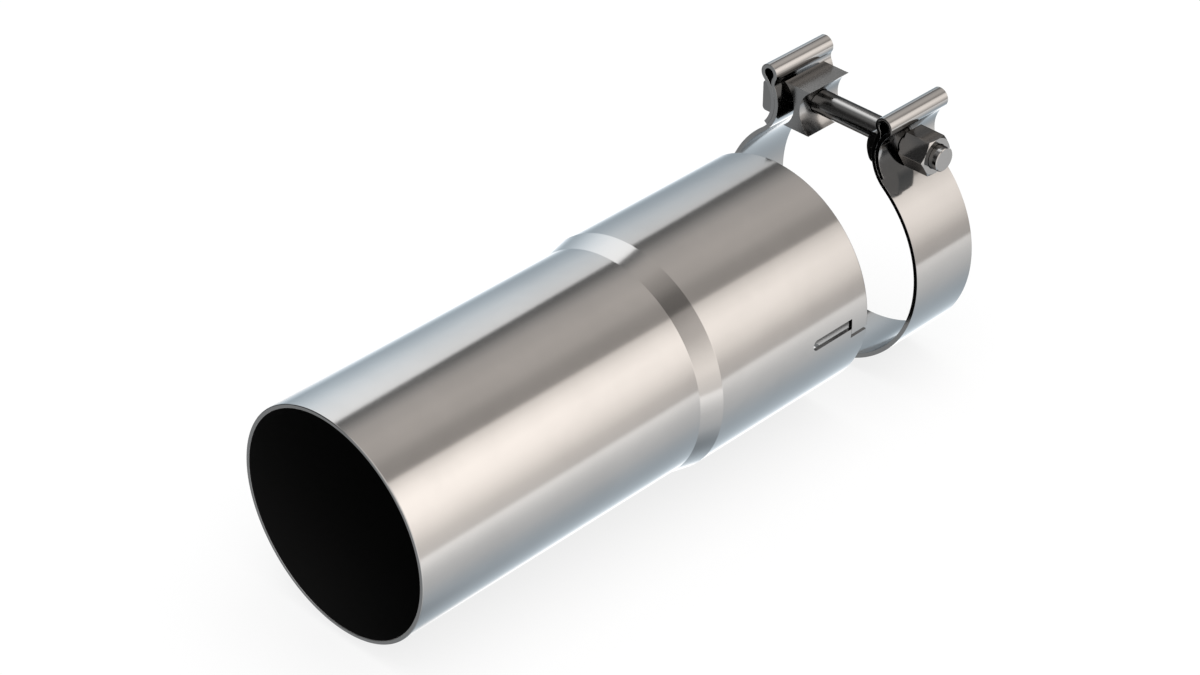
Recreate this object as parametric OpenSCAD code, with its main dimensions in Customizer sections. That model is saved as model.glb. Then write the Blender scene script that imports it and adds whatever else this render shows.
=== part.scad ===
// Exhaust connection pipe with its band clamp.
// A stainless tube is swaged up at one end to a socket that takes the next pipe of the run.
// Two Z slots let the socket close, and a band clamp with rolled lugs squeezes it shut.
// The clamp is shown taken off, in line with the pipe and just past the socket.
// The pipe's axis is X, from the small end at the origin to the socket, and the lugs point up.

/* [Pipe] */
// Outside diameter of the small tube, and of the pipe that slips into the socket
tube_od = 88.9; // [70:0.1:110]
// Wall of the tube, the cone and the socket
wall = 1.6; // [1.2:0.1:2.4]
// Straight length of the small tube, from its open end to the cone
tube_len = 130.8; // [90:0.1:220]
// Length of the cone between the tube and the socket
cone_len = 9.6; // [6:0.1:20]
// Straight length of the socket, from the cone to its open end
socket_len = 77.2; // [50:0.1:110]
// Radial clearance between the socket and the pipe that slips into it
slip_gap = 0.4; // [0.2:0.05:0.8]

/* [Z slots] */
// Number of Z slots around the socket
slot_count = 2; // [1:1:4]
// Width of the wide inner leg of a slot, measured round the socket
slot_w = 4.4; // [3:0.1:7]
// Distance from the socket's open end to the round end of the wide leg
slot_reach = 29.6; // [20:0.1:40]
// Width of the narrow leg, which is open at the socket's end
slit_w = 1.6; // [1:0.1:3]
// Length of the narrow leg
slit_len = 8.6; // [5:0.1:14]
// Step round the socket from the middle of the wide leg to the middle of the narrow leg
slot_step = 5.4; // [5:0.1:9]
// Width of the sheared line that joins the two legs
shear_w = 0.3; // [0.2:0.05:0.6]
// Height of the wide leg's middle above the pipe's axis, on the side of the first slot
slot_rise = 1.4; // [-3:0.1:3]

/* [Band clamp] */
// Gap along the axis between the socket's end and the clamp
clamp_stand_off = 25.7; // [10:0.1:60]
// Width of the band along the axis
band_w = 31.9; // [28:0.1:40]
// Thickness of the strip that the band is bent from
band_t = 1.7; // [1.2:0.1:2]
// Radial clearance between the open clamp and the outside of the socket
band_gap = 0.25; // [0.1:0.05:0.8]
// Radius of the curved seat on the inner face of each lug
lug_seat_r = 16.7; // [15:0.1:19]
// Height of the bolt's axis above the inside of the ring
bolt_rise = 1.7; // [1:0.1:5]
// Height of the middle of the lugs' seats above the bolt's axis
seat_rise = 1; // [0:0.1:1.2]
// Outside radius of the roll at the top of each lug
roll_r = 3.85; // [3.4:0.05:4.4]
// Angle above the bolt, about the seat's centre, at which the roll touches the folded layer
roll_angle = 46.5; // [44:0.5:50]
// Angle above the bolt at which the two layers part and leave the teardrop opening
part_angle = 26; // [24:0.5:28]
// Angle below the bolt at which the folded layer ends
fold_angle = 40; // [34:0.5:44]

/* [Bolt and nut] */
// Diameter of the bolt
bolt_d = 9.5; // [8:0.1:10]
// Radial clearance of the bolt in the lugs
lug_hole_gap = 0.5; // [0.3:0.05:0.8]
// Radial clearance of the bolt in the nut
thread_gap = 0.05; // [0.05:0.05:0.3]
// Length of the bolt that stands out past the nut
bolt_tail = 3.7; // [2:0.1:8]
// Chamfer at the bolt's tip
tip_chamfer = 0.3; // [0.2:0.05:1]
// Width of the nut across its flats
nut_af = 14.3; // [13:0.1:16]
// Height of the nut along the bolt
nut_h = 11.3; // [8:0.1:13]
// Height of the chamfer at the nut's corners
nut_chamfer = 0.6; // [0.3:0.05:1]

/* [Bars and spacer block] */
// Length along the axis of the bolt's bar head and of the saddle bar
bar_len = 25.4; // [22:0.1:27]
// Height of the bar head and of the saddle bar
bar_h = 12.7; // [12:0.1:14]
// Thickness of the bar head at the bolt
head_t = 7; // [5:0.1:9]
// Radius of the bar head's outer edges
head_edge_r = 1.5; // [0.5:0.1:2.5]
// Thickness of the saddle bar at the bolt
saddle_t = 5.1; // [4:0.1:6]
// How much smaller the saddle bar's round nose is than the block's hollow, in radius
nose_ease = 0.5; // [0.2:0.1:1]
// Radius of the saddle bar's edges beside its nose
saddle_edge_r = 2; // [1:0.1:2.5]
// Clearance between a curved seat and the bar or the nut that bears on it
seat_gap = 0.1; // [0.05:0.05:0.3]
// Length of the spacer block along the axis
block_len = 21.8; // [18:0.1:26]
// Height of the spacer block
block_h = 18.8; // [16:0.1:20]
// Thickness of the block at the waist, between its two hollow sides
block_waist = 2.8; // [2:0.1:4]
// Radius of the block's two hollow sides
block_seat_r = 11.5; // [11:0.1:14]
// Radial clearance of the bolt in the block
block_hole_gap = 0.3; // [0.2:0.05:0.6]
// Distance from the seat of the head's lug to the middle of the block
block_stand = 5; // [4.5:0.1:9]

/* [Hidden] */
$fn = 96;

// Pipe
tube_r = tube_od / 2;
bore_r = tube_r - wall;
socket_bore_r = tube_r + slip_gap;
socket_r = socket_bore_r + wall;
cone_end = tube_len + cone_len;
pipe_len = cone_end + socket_len;
past = 1;                                   // how far a cut runs past the face that it opens
lap = 0.1;                                  // how far each stretch of strip runs into the next
wedge_step = 45;                            // greatest angle between two outer corners of a wedge

// Clamp: the ring, then each lug's seat circle, which touches the ring from outside
ring_r = socket_r + band_gap;
clamp_x = pipe_len + clamp_stand_off;
mid_x = clamp_x + band_w / 2;
bolt_z = ring_r + bolt_rise;
seat_z = bolt_z + seat_rise;
lug_y = sqrt(pow(ring_r + lug_seat_r, 2) - pow(seat_z, 2));
lug_centre = [lug_y, seat_z];
join_angle = atan2(seat_z, lug_y);
fold_face_r = lug_seat_r - 2 * band_t;      // outer face of the two layers, hollow towards the head or nut

// The roll touches the folded layer, and the neck's circle touches both the seat and the roll
roll_reach = roll_r + fold_face_r;
roll_centre = lug_centre + roll_reach * toward(180 - roll_angle);
neck_short = lug_seat_r - roll_r;
neck_reach = (pow(roll_reach, 2) - pow(neck_short, 2))
    / (2 * (roll_reach * cos(roll_angle - part_angle) - neck_short));
neck_r = neck_reach - lug_seat_r;
neck_centre = lug_centre + neck_reach * toward(180 - part_angle);
neck_to_roll = roll_centre - neck_centre;
neck_angle = atan2(neck_to_roll[1], neck_to_roll[0]);

// Along the bolt, with the head on the +Y side and the nut on the -Y side
bolt_r = bolt_d / 2;
seat_y = lug_y - lug_seat_r;                // inner face of a lug at the middle of its seat
fold_y = lug_y - fold_face_r;               // outer face of a lug at the same height
head_y = fold_y + head_t;
block_y = seat_y - block_stand;
saddle_nose_y = seat_y - saddle_t;
saddle_nose_r = block_seat_r - nose_ease;
saddle_edge_z = bar_h / 2 - saddle_edge_r;
saddle_edge_y = saddle_nose_y + saddle_nose_r
    - sqrt(pow(saddle_nose_r - saddle_edge_r, 2) - pow(saddle_edge_z, 2));
nut_seat_y = lug_y - sqrt(pow(fold_face_r, 2) - pow(nut_af / 2 + seat_rise, 2)) + seat_gap;
nut_end_y = nut_seat_y + nut_h;
tip_y = nut_end_y + bolt_tail;

function toward(angle) = [cos(angle), sin(angle)];

// Wedge-shaped mask from one angle to another, with its point at the origin
module wedge(reach, from, to) {
    steps = ceil((to - from) / wedge_step);
    polygon([[0, 0], for (i = [0:steps]) reach * toward(from + (to - from) * i / steps)]);
}

// A stretch of strip bent round a centre, seen along the pipe's axis
module bend(centre, inner_r, outer_r, from, to) {
    lap_angle = lap / outer_r * 180 / PI;
    translate(centre) intersection() {
        difference() {
            circle(r = outer_r);
            circle(r = inner_r);
        }
        wedge(2 * outer_r, from - lap_angle, to + lap_angle);
    }
}

// Stands a shape drawn in Y and Z up on its plane and gives it a length along X
module along_axis(start, length) {
    translate([start, 0, 0]) rotate([90, 0, 90]) linear_extrude(height = length) children();
}

// A round bar along the bolt's axis between two places on Y
module on_bolt(radius, from_y, to_y) {
    translate([mid_x, from_y, bolt_z]) rotate([-90, 0, 0]) cylinder(r = radius, h = to_y - from_y);
}

// Outline of a bar with two rounded edges on its far side, from one Y to a greater one
module bar_outline(from_y, to_y, edge_r) {
    translate([from_y, seat_z - bar_h / 2 + edge_r]) square([to_y - from_y, bar_h - 2 * edge_r]);
    translate([from_y, seat_z - bar_h / 2]) square([to_y - from_y - edge_r, bar_h]);
    for (side = [-1, 1])
        translate([to_y - edge_r, seat_z + side * (bar_h / 2 - edge_r)]) circle(r = edge_r);
}

// One Z slot, drawn in X and Z and cut through the socket's wall on the -Y side
module z_slot_cut() {
    jog_x = pipe_len - slit_len;
    round_x = pipe_len - slot_reach + slot_w / 2;
    slit_z = slot_rise - slot_step;
    translate([0, -socket_r / 2, 0]) rotate([90, 0, 0]) linear_extrude(height = socket_r / 2 + past) {
        translate([round_x, slot_rise]) circle(d = slot_w);
        translate([round_x, slot_rise - slot_w / 2]) square([jog_x - round_x, slot_w]);
        translate([jog_x - shear_w, slit_z - slit_w / 2]) square([slit_len + shear_w + past, slit_w]);
        translate([jog_x - shear_w, slit_z]) square([shear_w, slot_step]);
    }
}

// The tube, its cone and its socket in one revolved wall
module connection_pipe() {
    color("silver") difference() {
        rotate([0, 90, 0]) rotate_extrude() polygon([
            [bore_r, 0], [tube_r, 0], [tube_r, tube_len], [socket_r, cone_end], [socket_r, pipe_len],
            [socket_bore_r, pipe_len], [socket_bore_r, cone_end], [bore_r, tube_len]]);
        for (i = [0:slot_count - 1]) rotate([360 * i / slot_count, 0, 0]) z_slot_cut();
    }
}

// One lug: the strip climbs over its seat, rolls over at the top and folds back down outside
module lug_outline() {
    layer_r = lug_seat_r - band_t;
    bend(lug_centre, layer_r, lug_seat_r, 180 + fold_angle, 180 + join_angle);
    bend(lug_centre, fold_face_r, lug_seat_r, 180 - part_angle, 180 + fold_angle);
    bend(lug_centre, fold_face_r, layer_r, 180 - roll_angle, 180 - part_angle);
    bend(neck_centre, neck_r, neck_r + band_t, -part_angle, neck_angle);
    bend(roll_centre, roll_r - band_t, roll_r, -roll_angle, 180 + neck_angle);
}

module clamp_band() {
    color("lightgray") difference() {
        along_axis(clamp_x, band_w) {
            bend([0, 0], ring_r, ring_r + band_t, 180 - join_angle, 360 + join_angle);
            lug_outline();
            mirror([1, 0]) lug_outline();
        }
        on_bolt(bolt_r + lug_hole_gap, -lug_y, lug_y);
    }
}

// Bolt with a bar for a head, whose round side lies in the hollow of the +Y lug
module bar_head_bolt() {
    color("dimgray") {
        along_axis(mid_x - bar_len / 2, bar_len) intersection() {
            translate(lug_centre) circle(r = fold_face_r - seat_gap);
            bar_outline(fold_y - past, head_y, head_edge_r);
        }
        on_bolt(bolt_r, tip_chamfer - tip_y, head_y - head_edge_r);
        translate([mid_x, -tip_y, bolt_z]) rotate([-90, 0, 0])
            cylinder(r1 = bolt_r - tip_chamfer, r2 = bolt_r, h = tip_chamfer);
    }
}

// Block with two hollow sides that keeps the lugs apart when the clamp is tightened
module spacer_block() {
    side = block_waist / 2 + block_seat_r - sqrt(pow(block_seat_r, 2) - pow(block_h / 2, 2));
    color("gray") difference() {
        along_axis(mid_x - block_len / 2, block_len) difference() {
            translate([block_y - side, bolt_z - block_h / 2]) square([2 * side, block_h]);
            for (way = [-1, 1])
                translate([block_y + way * (block_waist / 2 + block_seat_r), bolt_z])
                    circle(r = block_seat_r);
        }
        on_bolt(bolt_r + block_hole_gap, block_y - side - past, block_y + side + past);
    }
}

// Outline of the saddle bar's side towards the block: a round nose with rounded edges beside it
module saddle_outline() {
    touch_z = saddle_edge_z * saddle_nose_r / (saddle_nose_r - saddle_edge_r);
    translate([0, seat_z]) {
        intersection() {
            translate([saddle_nose_y + saddle_nose_r, 0]) circle(r = saddle_nose_r);
            translate([saddle_nose_y, -touch_z]) square([saddle_nose_r, 2 * touch_z]);
        }
        translate([saddle_edge_y, -bar_h / 2]) square([saddle_nose_y + saddle_nose_r - saddle_edge_y, bar_h]);
        for (side = [-1, 1]) translate([saddle_edge_y, side * saddle_edge_z]) circle(r = saddle_edge_r);
    }
}

// Bar inside the -Y lug, hollow towards the lug's seat
module saddle_bar() {
    color("gray") difference() {
        mirror([0, 1, 0]) along_axis(mid_x - bar_len / 2, bar_len) difference() {
            saddle_outline();
            translate(lug_centre) circle(r = lug_seat_r + seat_gap);
        }
        on_bolt(bolt_r + block_hole_gap, -seat_y - past, past - saddle_nose_y);
    }
}

// Six-sided nut that bears on the hollow outer face of the -Y lug
module hex_nut() {
    corner_r = nut_af / 2 / cos(30);
    color("dimgray") difference() {
        intersection() {
            translate([mid_x, -nut_end_y, bolt_z]) rotate([-90, 0, 0])
                cylinder(r = corner_r, h = nut_h, $fn = 6);
            translate([mid_x, -nut_end_y, bolt_z]) rotate([-90, 0, 0]) union() {
                cylinder(r1 = nut_af / 2, r2 = nut_af / 2 + 2 * nut_chamfer, h = nut_chamfer);
                translate([0, 0, nut_chamfer])
                    cylinder(r = nut_af / 2 + 2 * nut_chamfer, h = nut_h - nut_chamfer);
            }
        }
        on_bolt(bolt_r + thread_gap, -nut_end_y - past, past - nut_seat_y);
    }
}

connection_pipe();
clamp_band();
bar_head_bolt();
spacer_block();
saddle_bar();
hex_nut();
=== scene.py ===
"""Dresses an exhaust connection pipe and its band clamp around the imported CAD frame.

The pipe's axis is X. The small end is at the origin, the socket and the clamp follow along +X,
and the clamp's lugs point up. Every size is in metres.
"""

from __future__ import annotations

import logging
import math
from dataclasses import astuple, dataclass, replace
from enum import Enum
from typing import Any, Iterable, Sequence

import bmesh
import bpy
from mathutils import Matrix, Vector

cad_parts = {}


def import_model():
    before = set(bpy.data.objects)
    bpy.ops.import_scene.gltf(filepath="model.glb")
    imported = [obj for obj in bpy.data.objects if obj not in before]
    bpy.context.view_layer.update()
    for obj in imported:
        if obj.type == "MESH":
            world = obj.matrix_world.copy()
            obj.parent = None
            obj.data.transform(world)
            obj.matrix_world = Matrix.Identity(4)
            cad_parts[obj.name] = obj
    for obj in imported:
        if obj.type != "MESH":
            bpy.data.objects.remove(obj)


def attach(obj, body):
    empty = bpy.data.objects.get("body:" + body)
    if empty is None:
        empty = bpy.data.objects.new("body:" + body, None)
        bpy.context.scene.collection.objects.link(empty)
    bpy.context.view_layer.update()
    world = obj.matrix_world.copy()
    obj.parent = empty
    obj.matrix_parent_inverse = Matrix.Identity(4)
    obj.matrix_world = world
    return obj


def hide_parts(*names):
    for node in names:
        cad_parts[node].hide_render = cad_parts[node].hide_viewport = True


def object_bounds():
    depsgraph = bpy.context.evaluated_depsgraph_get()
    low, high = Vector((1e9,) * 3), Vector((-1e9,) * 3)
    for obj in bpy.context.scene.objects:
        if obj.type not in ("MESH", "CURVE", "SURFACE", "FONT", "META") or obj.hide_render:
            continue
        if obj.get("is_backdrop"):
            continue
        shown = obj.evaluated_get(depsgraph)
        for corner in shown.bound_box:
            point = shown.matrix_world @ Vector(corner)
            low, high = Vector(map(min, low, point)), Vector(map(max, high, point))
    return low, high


LOG = logging.getLogger("connection_pipe")
BODY = "root"
MM = 0.001
GRID_MERGE = 1e-6  # joins the seam of the turned wall
ROW_MERGE = 1e-7  # joins the points that two rows share
EDGE_STEPS = 3
EDGE_ANGLE = 35.0
SHARP_ANGLE = 30.0
WHITE = (1.0, 1.0, 1.0, 1.0)
EVERYWHERE = -99.0  # a stop's reach that lies before every panel
MIX_FACTOR, MIX_FIRST, MIX_SECOND = 0, 6, 7  # a Mix node's inputs for colours
MIX_RESULT = 2  # its output for them

Point = tuple[float, float]
Place = tuple[float, float, float]


# Shader and geometry graphs


class Wire:
    """One output socket of a node tree, on which sums are written as Python expressions."""

    def __init__(self, graph: "Graph", socket: bpy.types.NodeSocket | None) -> None:
        """Keeps the socket and the graph that it belongs to.

        Args:
            graph: The graph that adds the nodes of an expression.
            socket: The output socket, or None after a node without one.
        """
        self.graph = graph
        self.socket = socket

    def _math(self, operation: str, first: Any, second: Any) -> "Wire":
        """Adds one Math node.

        Args:
            operation: The Math node's operation.
            first: The first value or wire.
            second: The second value or wire.

        Returns:
            The node's result.
        """
        return self.graph.node("ShaderNodeMath", {"operation": operation},
                               {0: first, 1: second})

    def __add__(self, other: Any) -> "Wire":
        """Returns the sum."""
        return self._math("ADD", self, other)

    def __radd__(self, other: Any) -> "Wire":
        """Returns the sum with a number on the left."""
        return self._math("ADD", other, self)

    def __sub__(self, other: Any) -> "Wire":
        """Returns the difference."""
        return self._math("SUBTRACT", self, other)

    def __rsub__(self, other: Any) -> "Wire":
        """Returns a number less this wire."""
        return self._math("SUBTRACT", other, self)

    def __mul__(self, other: Any) -> "Wire":
        """Returns the product."""
        return self._math("MULTIPLY", self, other)

    def __rmul__(self, other: Any) -> "Wire":
        """Returns the product with a number on the left."""
        return self._math("MULTIPLY", other, self)

    def __truediv__(self, other: Any) -> "Wire":
        """Returns the quotient."""
        return self._math("DIVIDE", self, other)

    def __rtruediv__(self, other: Any) -> "Wire":
        """Returns a number divided by this wire."""
        return self._math("DIVIDE", other, self)

    def __mod__(self, other: Any) -> "Wire":
        """Returns the remainder."""
        return self._math("MODULO", self, other)

    def __rmod__(self, other: Any) -> "Wire":
        """Returns the remainder of a number divided by this wire."""
        return self._math("MODULO", other, self)

    def call(self, operation: str, other: Any = 0.0) -> "Wire":
        """Returns the result of any other Math operation on this wire."""
        return self._math(operation, self, other)


class Graph:
    """A node tree that is written node by node, each with its settings and its inputs."""

    def __init__(self, tree: bpy.types.NodeTree) -> None:
        """Keeps the tree and empties it.

        Args:
            tree: The node tree to write.
        """
        self.tree = tree
        tree.nodes.clear()

    def node(self, kind: str, settings: dict[str, Any] | None = None,
             inputs: dict[Any, Any] | None = None, out: Any = 0) -> Wire:
        """Adds a node, sets it up and joins its inputs.

        Args:
            kind: The node's type name.
            settings: Attributes that are set first.
            inputs: Values or wires by socket name or index.
            out: The name or index of the output to return.

        Returns:
            The wanted output.
        """
        made = self.tree.nodes.new(kind)
        for name, value in (settings or {}).items():
            setattr(made, name, value)
        for key, value in (inputs or {}).items():
            socket = made.inputs[key]
            if isinstance(value, Wire):
                self.tree.links.new(value.socket, socket)
            else:
                socket.default_value = value
        return Wire(self, made.outputs[out] if len(made.outputs) else None)

    def output(self, wire: Wire, name: str) -> Wire:
        """Returns another output of the node that a wire comes from."""
        return Wire(self, wire.socket.node.outputs[name])

    def vector(self, x: Any, y: Any, z: Any) -> Wire:
        """Joins three numbers or wires to a vector."""
        return self.node("ShaderNodeCombineXYZ", None, {0: x, 1: y, 2: z})

    def split(self, vector: Wire) -> tuple[Wire, Wire, Wire]:
        """Returns the three parts of a vector."""
        parts = self.node("ShaderNodeSeparateXYZ", None, {0: vector})
        return parts, self.output(parts, "Y"), self.output(parts, "Z")

    def remap(self, value: Any, low: float, high: float, to_low: float, to_high: float) -> Wire:
        """Maps a range of a value to another, held at both ends, with a smooth step between.

        Args:
            value: The wire to map.
            low: Where the step starts.
            high: Where the step ends.
            to_low: The result at and before the start.
            to_high: The result at and past the end.

        Returns:
            The mapped value.
        """
        return self.node("ShaderNodeMapRange", {"interpolation_type": "SMOOTHSTEP"},
                         {"Value": value, "From Min": low, "From Max": high,
                          "To Min": to_low, "To Max": to_high})


class Material(Graph):
    """A procedural surface: one Principled shader and the nodes that feed it."""

    def __init__(self, name: str) -> None:
        """Makes an empty material.

        Args:
            name: The material's name.
        """
        self.made = bpy.data.materials.new(name)
        self.made.use_nodes = True
        super().__init__(self.made.node_tree)

    def place(self) -> Wire:
        """Returns the Object coordinates."""
        return self.node("ShaderNodeTexCoord", None, None, "Object")

    def noise(self, vector: Wire, scale: float, detail: float, rough: float) -> Wire:
        """Returns a noise value at a vector."""
        return self.node("ShaderNodeTexNoise", None,
                         {"Vector": vector, "Scale": scale, "Detail": detail, "Roughness": rough})

    def blend(self, factor: Any, first: Any, second: Any) -> Wire:
        """Mixes two colours.

        Args:
            factor: The share of the second colour.
            first: A colour or a wire.
            second: A colour or a wire.

        Returns:
            The mixed colour.
        """
        first, second = (side if isinstance(side, Wire) else (*side, 1.0)
                         for side in (first, second))
        return self.node("ShaderNodeMix", {"data_type": "RGBA"},
                         {MIX_FACTOR: factor, MIX_FIRST: first, MIX_SECOND: second}, MIX_RESULT)

    def finish(self, shader: Wire) -> bpy.types.Material:
        """Joins a shader to the output and returns the finished material."""
        self.node("ShaderNodeOutputMaterial", None, {"Surface": shader})
        return self.made

    def glow(self, colour: Any) -> Wire:
        """Returns a shader that gives off a colour."""
        return self.node("ShaderNodeEmission", None, {"Color": colour, "Strength": 1.0})


class ShapeTree(Graph):
    """A Geometry Nodes tree with named inputs, run once on an object and turned into a mesh."""

    def __init__(self, name: str) -> None:
        """Makes a tree that takes and gives geometry.

        Args:
            name: The tree's name.
        """
        super().__init__(bpy.data.node_groups.new(name, "GeometryNodeTree"))
        for way in ("INPUT", "OUTPUT"):
            self.tree.interface.new_socket("Geometry", in_out=way,
                                           socket_type="NodeSocketGeometry")
        self.names: dict[str, str] = {}
        self.group = self.tree.nodes.new("NodeGroupInput")

    def start(self) -> Wire:
        """Returns the geometry of the object that carries the tree."""
        return Wire(self, self.group.outputs[0])

    def size(self, name: str, kind: str = "NodeSocketFloat") -> Wire:
        """Adds a named input.

        Args:
            name: The input's name.
            kind: Its socket type.

        Returns:
            The input's value in the tree.
        """
        made = self.tree.interface.new_socket(name, in_out="INPUT", socket_type=kind)
        self.names[name] = made.identifier
        return Wire(self, next(s for s in self.group.outputs if s.identifier == made.identifier))

    def end(self, geometry: Wire, material: bpy.types.Material) -> None:
        """Realizes instances, sets the material and joins the group's output.

        Args:
            geometry: The finished geometry.
            material: The material of the piece.
        """
        real = self.node("GeometryNodeRealizeInstances", None, {0: geometry})
        dressed = self.node("GeometryNodeSetMaterial", None,
                            {"Geometry": real, "Material": material})
        self.node("NodeGroupOutput", None, {0: dressed})

    def run(self, name: str, start: bpy.types.Mesh, sizes: dict[str, Any]) -> bpy.types.Object:
        """Evaluates the tree on a mesh and keeps only the result.

        Args:
            name: The name of the piece.
            start: The mesh that the tree starts from.
            sizes: The values of the named inputs.

        Returns:
            The finished object, at the origin and with no modifier.
        """
        carrier = link(bpy.data.objects.new(name + "_start", start))
        modifier = carrier.modifiers.new("shape", "NODES")
        modifier.node_group = self.tree
        for label, value in sizes.items():
            modifier[self.names[label]] = value
        mesh = applied(name, carrier)
        bpy.data.objects.remove(carrier)
        return link(bpy.data.objects.new(name, mesh))


# Meshes


def link(made: bpy.types.Object) -> bpy.types.Object:
    """Puts an object in the scene and returns it."""
    bpy.context.scene.collection.objects.link(made)
    return made


def applied(name: str, carrier: bpy.types.Object) -> bpy.types.Mesh:
    """Turns an object with its modifiers into a plain mesh.

    Args:
        name: The mesh's name.
        carrier: The object that carries the modifiers.

    Returns:
        The mesh.
    """
    bpy.context.view_layer.update()
    graph = bpy.context.evaluated_depsgraph_get()
    mesh = bpy.data.meshes.new_from_object(carrier.evaluated_get(graph), depsgraph=graph)
    mesh.name = name
    return mesh


def written(name: str, shape: bmesh.types.BMesh) -> bpy.types.Mesh:
    """Turns a shape's faces outwards, writes it to a mesh and frees it.

    Args:
        name: The mesh's name.
        shape: The closed shape.

    Returns:
        The mesh.
    """
    bmesh.ops.recalc_face_normals(shape, faces=shape.faces)
    mesh = bpy.data.meshes.new(name)
    shape.to_mesh(mesh)
    shape.free()
    return mesh


def enrol(piece: bpy.types.Object, node: str) -> bpy.types.Object:
    """Hides the CAD node that a finished piece replaces and ties the piece to the body.

    Args:
        piece: The piece, with no construction left on it.
        node: The CAD node that it replaces.

    Returns:
        The same piece.
    """
    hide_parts(node)
    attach(piece, BODY)
    return piece


def smooth(piece: bpy.types.Object, angle: float = SHARP_ANGLE) -> bpy.types.Object:
    """Shades a piece smooth, with sharp edges where its faces turn by more than an angle.

    Large faces keep their own direction, so a narrow rounded edge beside one doesn't tilt it.

    Args:
        piece: The piece.
        angle: The angle in degrees.

    Returns:
        The same piece.
    """
    mesh = piece.data
    mesh.shade_smooth()
    mesh.set_sharp_from_angle(angle=math.radians(angle))
    even = piece.modifiers.new("even_normals", "WEIGHTED_NORMAL")
    even.mode = "FACE_AREA"
    even.keep_sharp = True
    return piece


def bar(name: str, near: Sequence[Place], far: Sequence[Place]) -> bpy.types.Mesh:
    """Makes a closed bar between two outlines with the same number of corners.

    Args:
        name: The mesh's name.
        near: The corners at one end, in order.
        far: The corners at the other end.

    Returns:
        The mesh, with its faces outwards.
    """
    shape = bmesh.new()
    first, second = ([shape.verts.new(place) for place in outline] for outline in (near, far))
    shape.faces.new(first)
    shape.faces.new(list(reversed(second)))
    for i in range(len(first)):
        j = (i + 1) % len(first)
        shape.faces.new((first[j], first[i], second[i], second[j]))
    return written(name, shape)


def prism(name: str, outline: Sequence[Point], start: float, length: float) -> bpy.types.Mesh:
    """Makes a bar along X from an outline drawn in Y and Z.

    Args:
        name: The mesh's name.
        outline: The corners in order.
        start: Where the bar starts on X.
        length: Its length.

    Returns:
        The mesh, with its faces outwards.
    """
    return bar(name, [(start, y, z) for y, z in outline],
               [(start + length, y, z) for y, z in outline])


def turned(name: str, profile: Sequence[Point], centre: Vector,
           segments: int = 96) -> bpy.types.Mesh:
    """Turns a profile round the bolt's line, which runs along Y.

    Args:
        name: The mesh's name.
        profile: Pairs of a place on Y and a radius; a radius of zero closes the end.
        centre: A point on the line.
        segments: How many steps make the turn.

    Returns:
        The closed mesh.
    """
    shape = bmesh.new()
    rings: list[list[bmesh.types.BMVert]] = []
    for y, radius in profile:
        if radius == 0:
            rings.append([shape.verts.new((centre.x, y, centre.z))])
            continue
        ring = []
        for i in range(segments):
            angle = 2 * math.pi * i / segments
            ring.append(shape.verts.new((centre.x + radius * math.cos(angle), y,
                                         centre.z + radius * math.sin(angle))))
        rings.append(ring)
    for first, second in zip(rings, rings[1:]):
        for i in range(segments):
            j = (i + 1) % segments
            corners = [first[i % len(first)], first[j % len(first)],
                       second[j % len(second)], second[i % len(second)]]
            shape.faces.new(list(dict.fromkeys(corners)))
    return written(name, shape)


def toward(angle: float) -> Vector:
    """Returns the direction at an angle in degrees, in a plane."""
    return Vector((math.cos(math.radians(angle)), math.sin(math.radians(angle))))


def arc(centre: Point, radius: float, start: float, end: float, step: float = 2.0) -> list[Point]:
    """Returns points on an arc, both ends included.

    Args:
        centre: The arc's centre.
        radius: Its radius.
        start: The first angle in degrees.
        end: The last angle in degrees.
        step: The greatest angle between two points.

    Returns:
        The points in order.
    """
    count = max(2, math.ceil(abs(end - start) / step) + 1)
    points = []
    for i in range(count):
        angle = math.radians(start + (end - start) * i / (count - 1))
        points.append((centre[0] + radius * math.cos(angle), centre[1] + radius * math.sin(angle)))
    return points


def drilled(name: str, solid: bpy.types.Mesh, tools: Sequence[bpy.types.Mesh], edge: float,
            material: bpy.types.Material, operation: str = "DIFFERENCE") -> bpy.types.Object:
    """Cuts tools out of a solid and rounds its sharp edges a little.

    Args:
        name: The name of the piece.
        solid: The mesh to cut.
        tools: The meshes that are taken away, or added where the operation says so.
        edge: The radius of the edges.
        material: The material of the piece.
        operation: DIFFERENCE or UNION.

    Returns:
        The finished object, at the origin and shaded smooth.
    """
    carrier = link(bpy.data.objects.new(name + "_start", solid))
    helpers = []
    for tool in tools:
        helper = link(bpy.data.objects.new(name + "_tool", tool))
        helpers.append(helper)
        cut = carrier.modifiers.new("cut", "BOOLEAN")
        cut.operation = operation
        cut.solver = "EXACT"
        cut.object = helper
    rounding = carrier.modifiers.new("edges", "BEVEL")
    rounding.width = edge
    rounding.segments = EDGE_STEPS
    rounding.limit_method = "ANGLE"
    rounding.angle_limit = math.radians(EDGE_ANGLE)
    rounding.harden_normals = False
    mesh = applied(name, carrier)
    mesh.materials.clear()
    mesh.materials.append(material)
    for made in [carrier, *helpers]:
        bpy.data.objects.remove(made)
    return smooth(link(bpy.data.objects.new(name, mesh)))


# Finishes


class Grain(Enum):
    """Which way the fine rolling lines of a metal run."""

    ALONG_PIPE = "along the pipe"
    ALONG_STRIP = "along the strip, on its own map"
    ALONG_BARS = "along the bars"


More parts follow.
